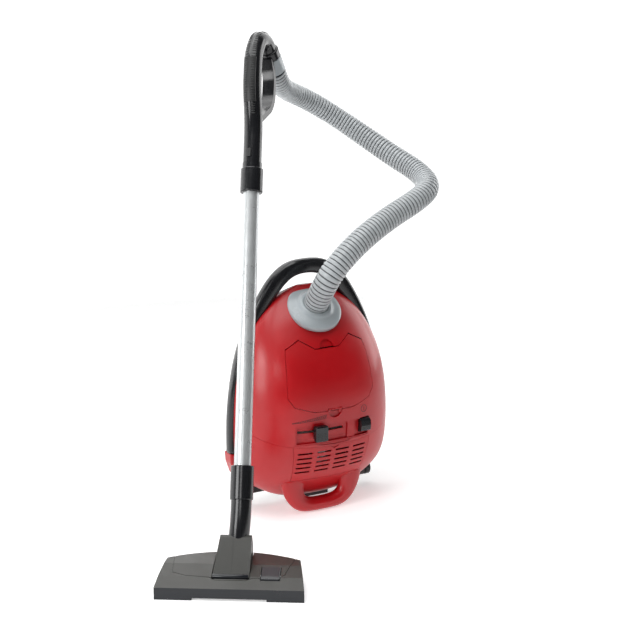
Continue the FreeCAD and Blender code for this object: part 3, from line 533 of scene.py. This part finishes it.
# ---------------------------------------------------------------- carry handle and foot loop
# stations of the bars: outer x, outer z, inner x, inner z, in millimetres, from the middle to the end
ARCH_STATIONS = [
    (0, 377, 0, 355), (16, 376.4, 14, 353.8), (32, 374, 25, 350), (55, 361, 40, 338),
    (76, 333, 56, 316), (97, 293, 80, 284), (113, 253, 100, 248), (123, 213, 110, 210),
    (129, 160, 116, 160), (130.4, 128, 118, 128), (130, 95.2, 118, 95.2),
]
LOOP_STATIONS = [
    (0, 0.1, 0, 20.6), (14, 0.1, 11, 20.6), (27, 0.3, 20, 21.4), (37, 1.8, 26.5, 24.5), (47, 7.2, 30, 29),
    (56, 18, 31, 34), (63, 31, 31, 40), (67, 44, 29, 48), (67.5, 55, 24, 58),
]
EASING = 60                # rounds of averaging that take the last unevenness out of a bar
BAR_STEPS = 40


def smooth_track(stations, count):
    """Eased positions along mirrored stations, from the left end over the middle to the right end."""
    left = [(-a, b, -c, d) for a, b, c, d in reversed(stations[1:])]
    rows = np.array(left + list(stations), float) * MM
    result = []
    for t in np.linspace(0, len(rows) - 1, count):
        i = min(int(t), len(rows) - 2)
        u = t - i
        p0, p1, p2, p3 = (rows[max(0, min(len(rows) - 1, i + k))] for k in (-1, 0, 1, 2))
        result.append(0.5 * (2 * p1 + (p2 - p0) * u + (2 * p0 - 5 * p1 + 4 * p2 - p3) * u * u
                             + (3 * p1 - p0 - 3 * p2 + p3) * u ** 3))
    for _ in range(EASING):
        eased = [(a + 2 * b + c) / 4 for a, b, c in zip(result, result[1:], result[2:])]
        result = [result[0], *eased, result[-1]]
    return result


def bent_bar(name, node, stations, count, mid_y, half_depth, power, slot):
    """A bar bent in the X-Z plane, with a soft superelliptic section between two outlines."""
    loops = []
    for outer_x, outer_z, inner_x, inner_z in smooth_track(stations, count):
        outer = Vector((outer_x, mid_y, outer_z))
        inner = Vector((inner_x, mid_y, inner_z))
        centre = (outer + inner) / 2
        reach = (outer - inner) / 2
        loop = []
        for k in range(BAR_STEPS):
            angle = 2 * math.pi * k / BAR_STEPS
            c, s = math.cos(angle), math.sin(angle)
            wide = math.copysign(abs(c) ** (2 / power), c)
            deep = math.copysign(abs(s) ** (2 / power), s)
            loop.append(centre + reach * wide + Vector((0, half_depth * deep, 0)))
        loops.append(loop)
    result = rings(name, loops, ROOT, slot)
    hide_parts(node)


bent_bar("carry_handle_bar", "carry_handle", ARCH_STATIONS, count=161, mid_y=0.048,
         half_depth=0.0099, power=2.5, slot="black_gloss")
bent_bar("foot_loop_bar", "foot_loop", LOOP_STATIONS, count=97, mid_y=-0.002,
         half_depth=0.0109, power=2.1, slot="red_shell")

# ---------------------------------------------------------------- grip ribs
# the grip's front and the top of its arch, in the handle frame's Y and Z
GRIP_GUIDE = [(-0.0010, 0.572), (-0.0055, 0.590), (-0.0095, 0.608), (-0.0105, 0.632), (-0.0090, 0.655),
              (-0.0025, 0.673), (0.0060, 0.684), (0.0180, 0.689), (0.0300, 0.691)]
GRIP_RIB_PITCH = 0.0033
GRIP_RIB_SIZE = (0.0062, 0.0016, 0.0006)
GRIP_RIB_SHIFT = 0.0052    # a band's middle from the grip's middle
CAST_FROM = 0.03           # how far outside the grip a ray starts
CAST_REACH = 0.06


def make_grip_ribs():
    """Two bands of short raised ribs down the front of the grip and over its arch."""
    handle_tree = tree("handle_left", "handle_right", "grip_pad")
    guide = [Vector((0, y, z)) for y, z in GRIP_GUIDE]
    spaced, ways, _ = even_steps(guide, GRIP_RIB_PITCH)
    turn = HANDLE.to_3x3()
    points = []
    faces = []
    for place, way in zip(spaced, ways):
        outward = Vector((0, -way[2], way[1]))
        for shift in (-GRIP_RIB_SHIFT, GRIP_RIB_SHIFT):
            start = HANDLE @ (Vector(place) + Vector((shift, 0, 0)) + outward * CAST_FROM)
            hit, normal, _, _ = handle_tree.ray_cast(start, -(turn @ outward), CAST_REACH)
            if hit is None or hit.z + GRIP_RIB_SIZE[2] > CAD_BOX[1][2]:
                continue
            along = turn @ Vector((1, 0, 0))
            along = (along - normal * along.dot(normal)).normalized()
            bead(points, faces, hit, along, normal, GRIP_RIB_SIZE)
    piece("grip_ribs", points, faces, ROOT, "black_matte")


make_grip_ribs()

# ---------------------------------------------------------------- printed and moulded marks on the front
FRONT = tree("front_cover", "dust_lid", "tail_cover", "vent_panel", "control_tray")
FORWARD = Vector((0, 1, 0))
AHEAD_Y = -0.3             # a plane in front of the whole machine
THROUGH = 0.6
PRINT_HEIGHT = 0.00012
PRINT_ROOT = 0.0002        # how far a printed line goes into the surface


def seen_from_front(cast, x, z):
    """Where a straight look from the front meets a tree of nodes, with the face's normal."""
    hit, normal, _, _ = cast.ray_cast(Vector((x, AHEAD_Y, z)), FORWARD, THROUGH)
    return hit, normal


def on_front(x, z):
    """A place on the front of the machine, with a normal that points out of it."""
    hit, normal = seen_from_front(FRONT, x, z)
    return hit, (-normal if normal.y > 0 else normal)


def ribbon(points, faces, line, width, closed=False):
    """Adds a flat printed line, laid on the front through (x, z) points."""
    places = [on_front(x, z) for x, z in line]
    count = len(places)
    start = len(points)
    for i, (hit, normal) in enumerate(places):
        after = places[(i + 1) % count][0] if closed or i < count - 1 else hit
        before = places[i - 1][0] if closed or i > 0 else hit
        way = (after - before).normalized()
        side = way.cross(normal).normalized() * width / 2
        for point in (hit - side, hit + side):
            points.append(point - normal * PRINT_ROOT)
            points.append(point + normal * PRINT_HEIGHT)
    last = count if closed else count - 1
    for i in range(last):
        a = start + i * 4
        b = start + ((i + 1) % count) * 4
        for p, q in ((0, 1), (1, 3), (3, 2), (2, 0)):
            faces.append((a + p, a + q, b + q, b + p))
    if not closed:
        faces.append((start, start + 2, start + 3, start + 1))
        end = start + last * 4
        faces.append((end, end + 1, end + 3, end + 2))


POWER_MARK = (0.0505, 0.1625)    # x and z of its middle
POWER_RING_R = 0.0052
POWER_RING_STEPS = 40
POWER_BAR_LOW = -0.0028
POWER_BAR_STEP = 0.0007
POWER_BAR_POINTS = 9
THIN_LINE = 0.0005
RING_LINE = 0.0008
STROKE_LINE = 0.0009


def make_power_mark():
    """A plain ring with a bar, the usual sign for on."""
    points = []
    faces = []
    x, z = POWER_MARK
    ring = [(x + POWER_RING_R * math.cos(a), z + POWER_RING_R * math.sin(a))
            for a in (2 * math.pi * k / POWER_RING_STEPS for k in range(POWER_RING_STEPS))]
    ribbon(points, faces, ring, RING_LINE, closed=True)
    upright = [(x, z + POWER_BAR_LOW + POWER_BAR_STEP * k) for k in range(POWER_BAR_POINTS)]
    ribbon(points, faces, upright, STROKE_LINE)
    piece("power_mark", points, faces, ROOT, "black_matte", PRINT, smooth=False)


SCALE_START = Vector((-0.066, 0.1555))
SCALE_END = Vector((-0.014, 0.1615))
SCALE_STROKES = 15
SCALE_TALL = (0.0006, 0.0036)    # a stroke's height at the thin end, and what it gains
SCALE_LEAN = 0.35                # sideways, for half its height
SCALE_HALF = (0.0004, 0.0022)    # the same for the distance of the edge lines
EDGE_POINTS = 20


def make_scale_mark():
    """A wedge of slanting strokes that grows towards full power."""
    points = []
    faces = []
    for k in range(SCALE_STROKES):
        share = (k + 0.5) / SCALE_STROKES
        base = SCALE_START.lerp(SCALE_END, share)
        tall = SCALE_TALL[0] + SCALE_TALL[1] * share
        stroke = [(base.x + tall * SCALE_LEAN * (2 * t - 1), base.y + tall * (t - 0.5))
                  for t in (0, 0.5, 1)]
        ribbon(points, faces, stroke, STROKE_LINE)
    for sign in (-1, 1):
        edge = []
        for k in range(EDGE_POINTS):
            share = k / (EDGE_POINTS - 1)
            base = SCALE_START.lerp(SCALE_END, share)
            edge.append((base.x, base.y + sign * (SCALE_HALF[0] + SCALE_HALF[1] * share)))
        ribbon(points, faces, edge, THIN_LINE)
    piece("scale_mark", points, faces, ROOT, "black_matte", PRINT, smooth=False)


make_power_mark()
make_scale_mark()


# ---------------------------------------------------------------- dots on the controls
KNOB_DOT_PITCH = 0.0023
KNOB_DOT_SIZE = (0.0011, 0.0011, 0.00045)
KNOB_DOT_ROWS = 5
KNOB_SIDE_ROOM = 0.005     # both sides of the knob together
KNOB_FOOT_ROOM = 0.0035


def make_knob_dots(name, node, body):
    """Rows of grip dots on the lower face of a knob."""
    low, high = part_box(node)
    cast = tree(node)
    points = []
    faces = []
    columns = int((high.x - low.x - KNOB_SIDE_ROOM) / KNOB_DOT_PITCH)
    for row in range(KNOB_DOT_ROWS):
        for column in range(columns + 1):
            x = (low.x + high.x) / 2 + (column - columns / 2) * KNOB_DOT_PITCH
            z = low.z + KNOB_FOOT_ROOM + row * KNOB_DOT_PITCH
            hit, normal = seen_from_front(cast, x, z)
            if hit is not None:
                bead(points, faces, hit, Vector((1, 0, 0)), normal, KNOB_DOT_SIZE)
    piece(name, points, faces, body, "black_gloss")


make_knob_dots("slider_dots", "power_slider", "slider")
make_knob_dots("switch_dots", "power_switch", "switch")


TICKS = 46
TICK_START = -0.057
TICK_PITCH = 0.0016
TICK_Z = 0.1285
TICK_SIZE = (0.0022, 0.0006, 0.0004)


def make_tray_ticks():
    """The row of fine ticks under the slider's slot."""
    cast = tree("control_tray")
    points = []
    faces = []
    for k in range(TICKS):
        hit, normal = seen_from_front(cast, TICK_START + TICK_PITCH * k, TICK_Z)
        if hit is not None:
            bead(points, faces, hit, Vector((0, 0, 1)), normal, TICK_SIZE)
    piece("tray_ticks", points, faces, ROOT, "red_panel")


make_tray_ticks()


# ---------------------------------------------------------------- hinge cover
HINGE = Vector(JOINTS["nozzle_tilt"]["pos_m"])
HINGE_WAY = Vector(JOINTS["nozzle_tilt"]["axis"]).normalized()
HINGE_REAR = Vector((0, 0, 1)).cross(HINGE_WAY)
KNEE_DOTS = 15
KNEE_DOT_LOW = 0.0265
KNEE_DOT_PITCH = 0.0023
KNEE_DOT_SIZE = (0.0010, 0.0010, 0.0003)


def make_knee_dots():
    """A column of fine dots up the middle of the cover's front."""
    cast = tree("hinge_cover")
    points = []
    faces = []
    for k in range(KNEE_DOTS):
        level = KNEE_DOT_LOW + KNEE_DOT_PITCH * k
        start = Vector((HINGE.x, HINGE.y, level)) - HINGE_REAR * 0.1
        hit, normal, _, _ = cast.ray_cast(start, HINGE_REAR, THROUGH)
        if hit is not None:
            bead(points, faces, hit, HINGE_WAY, normal, KNEE_DOT_SIZE)
    piece("knee_dots", points, faces, "knee", "black_matte")


make_knee_dots()

FOOT_BAR_Z = 0.0240
FOOT_BAR_AHEAD = 0.0025     # in front of the hinge
FOOT_BAR_R = 0.00302
FOOT_BAR_HALF = 0.02445
FOOT_BAR_ROUND = 0.0236     # where its ends start to round off
FOOT_BAR_END_R = 0.0021
FOOT_BAR_BORE = 0.001


def make_foot_bar():
    """The glossy bar at the foot of the hinge cover."""
    middle = Vector((HINGE.x, HINGE.y, FOOT_BAR_Z)) - HINGE_REAR * FOOT_BAR_AHEAD
    profile = [
        (FOOT_BAR_END_R, -FOOT_BAR_HALF), (FOOT_BAR_R, -FOOT_BAR_ROUND), (FOOT_BAR_R, FOOT_BAR_ROUND),
        (FOOT_BAR_END_R, FOOT_BAR_HALF), (FOOT_BAR_BORE, FOOT_BAR_HALF), (FOOT_BAR_BORE, -FOOT_BAR_HALF),
    ]
    lathe("foot_bar", middle, HINGE_WAY, profile, "knee", "blue_black", steps=32)


make_foot_bar()


# ---------------------------------------------------------------- stage
BACKDROP_GLOW = 1.15
FLOOR_GLOW = 0.42
WORLD_GLOW = 0.06
FLOOR_R = 1.3
FLOOR_STEPS = 64
DOME_R = 6.0
DOME_STEPS = 48
DOME_LEVELS = 24
REFLECTOR = (3.6, 0.8, 3.0)      # half its width, its distance back and its height
SHEET_WHITES = ((0.90, 0.90, 0.90), (0.92, 0.92, 0.92))


def sheet_of(name, points, faces, glow):
    """A plain white surface of the studio, with a little light of its own."""
    mesh = bpy.data.meshes.new(name)
    mesh.from_pydata(points, [], faces)
    sheet = bpy.data.objects.new(name, mesh)
    bpy.context.scene.collection.objects.link(sheet)
    m = Nodes(name)
    m.set("Base Color", m.mix(m.noise(3.0, 3.0), *SHEET_WHITES))
    m.set("Roughness", 0.7)
    m.set("Specular IOR Level", 0.0)
    m.set("Emission Color", (1.0, 1.0, 1.0, 1.0))
    m.set("Emission Strength", glow)
    mesh.materials.append(m.material)
    return sheet


def level_ring(radius, height, steps):
    return circle(Vector((0, 0, height)), Vector((1, 0, 0)), Vector((0, 1, 0)), radius, steps)


def add_floor():
    sheet_of("floor", level_ring(FLOOR_R, 0, FLOOR_STEPS), [tuple(range(FLOOR_STEPS))], FLOOR_GLOW)


def add_dome():
    """A white ball round the whole studio: the camera sees it from every side, and it lights nothing."""
    points = []
    for level in range(1, DOME_LEVELS):
        angle = math.pi * level / DOME_LEVELS
        points += level_ring(DOME_R * math.sin(angle), DOME_R * math.cos(angle), DOME_STEPS)
    last = len(points) - DOME_STEPS
    faces = [tuple(range(DOME_STEPS)), tuple(range(last, len(points)))]
    for low in range(0, last, DOME_STEPS):
        high = low + DOME_STEPS
        for k in range(DOME_STEPS):
            m = (k + 1) % DOME_STEPS
            faces.append((low + k, low + m, high + m, high + k))
    dome = sheet_of("dome", points, faces, BACKDROP_GLOW)
    dome.visible_diffuse = False
    dome.visible_glossy = False
    dome.visible_shadow = False


def add_reflector():
    """A bright wall behind the machine that only shows in its glossy surfaces."""
    wide, back, tall = REFLECTOR
    corners = [(-wide, back, 0), (wide, back, 0), (wide, back, tall), (-wide, back, tall)]
    wall = sheet_of("reflector", corners, [(0, 1, 2, 3)], BACKDROP_GLOW)
    wall.visible_camera = False
    wall.visible_diffuse = False
    wall.visible_shadow = False


# name, place, what it faces, width and height, watts
LIGHTS = [
    ("overhead", (-0.45, -0.05, 2.2), (-0.45, -0.04, 0.2), (1.7, 2.1), 42),
    ("left_box", (-1.9, -0.5, 0.8), (0, 0, 0.25), (0.8, 1.2), 22),
    ("front_box", (-1.5, -1.9, 1.3), (0, 0, 0.3), (0.6, 0.6), 5),
    ("right_box", (1.9, 0.1, 0.8), (0, 0, 0.2), (0.8, 1.5), 14),
]


def add_light(name, place, target, size, power):
    data = bpy.data.lights.new(name, "AREA")
    data.shape = "RECTANGLE"
    data.size, data.size_y = size
    data.energy = power
    light = bpy.data.objects.new(name, data)
    light.location = place
    way = Vector(target) - Vector(place)
    light.rotation_euler = way.to_track_quat("-Z", "Y").to_euler()
    bpy.context.scene.collection.objects.link(light)


add_floor()
add_dome()
add_reflector()
for light_row in LIGHTS:
    add_light(*light_row)
world = bpy.data.worlds.new("world")
bpy.context.scene.world = world
world.use_nodes = True
background = world.node_tree.nodes["Background"]
background.inputs["Color"].default_value = (1, 1, 1, 1)
background.inputs["Strength"].default_value = WORLD_GLOW
bpy.context.scene.view_settings.view_transform = "Standard"
